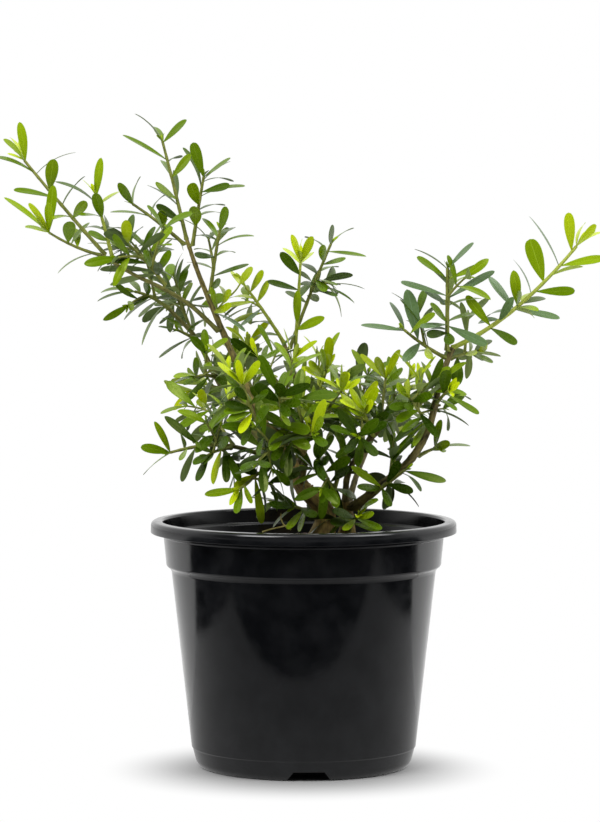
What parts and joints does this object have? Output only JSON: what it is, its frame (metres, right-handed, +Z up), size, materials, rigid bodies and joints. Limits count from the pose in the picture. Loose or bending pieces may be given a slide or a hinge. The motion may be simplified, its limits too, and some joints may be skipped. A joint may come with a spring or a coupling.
{
  "type": "potted boxwood",
  "caption": "Young narrow-leaved boxwood with forking stems, slender boughs and open sprays of small paired leaves, rooted in a round tapered nursery pot of potting mix.",
  "frame": {"origin": "middle of the pot's flat underside, on the surface it stands on", "axes": "+Z up, -Y towards the front, where the picture is taken from, +X to the right seen from the front"},
  "size_m": [0.3799, 0.235, 0.4048],
  "materials": {
    "pot": "moulded black polypropylene, half gloss",
    "potting_mix": "damp bark and peat mix, crumbly",
    "bark": "thin brown to khaki bark, greener on young boughs",
    "leaves": "waxy dark green leaf, half gloss above and dull below",
    "young_leaves": "fresh yellow-green leaf, soft gloss"
  },
  "bodies": {
    "root": {"pot": "pot", "potting_mix": "potting_mix", "trunk_left": "bark", "trunk_right": "bark", "bough_upright_left": "bark", "bough_reaching_left": "bark", "bough_lower_left": "bark", "bough_centre": "bark", "bough_front": "bark", "bough_low_left": "bark", "bough_right": "bark", "bough_inner_right": "bark", "bough_back_left": "bark", "bough_back_right": "bark", "leader_tip": "leaves", "leader_right_spray": "leaves", "leader_left_spray": "leaves", "right_of_leader": "leaves", "left_low": "leaves", "left_high": "leaves", "left_sprig": "young_leaves", "left_middle": "leaves", "lower_left_tip": "leaves", "lower_left_back": "leaves", "lower_left_outer": "leaves", "lower_left_foot": "leaves", "centre_young": "young_leaves", "centre_top": "leaves", "centre_top_young": "young_leaves", "centre_right": "young_leaves", "centre_left": "leaves", "centre_front": "leaves", "foot_sprig_left": "leaves", "front_tip": "leaves", "front_upper": "leaves", "front_right": "leaves", "front_low": "leaves", "low_left_tip": "leaves", "low_left_front": "leaves", "low_left_sprig": "leaves", "low_left_back": "leaves", "foot_sprig_right": "leaves", "centre_low": "leaves", "right_rosette": "leaves", "right_young": "young_leaves", "right_inner_tall": "leaves", "right_inner_back": "leaves", "right_inner_left": "leaves", "right_tip": "young_leaves", "right_top": "leaves", "right_left_spray": "leaves", "right_back_spray": "leaves", "right_front_spray": "leaves", "right_middle_spray": "leaves", "right_outer_sprig": "leaves", "right_low_spray": "leaves", "back_left_top": "leaves", "back_left_upper": "leaves", "back_right_top": "leaves", "back_right_upper": "leaves"}
  },
  "joints": []
}
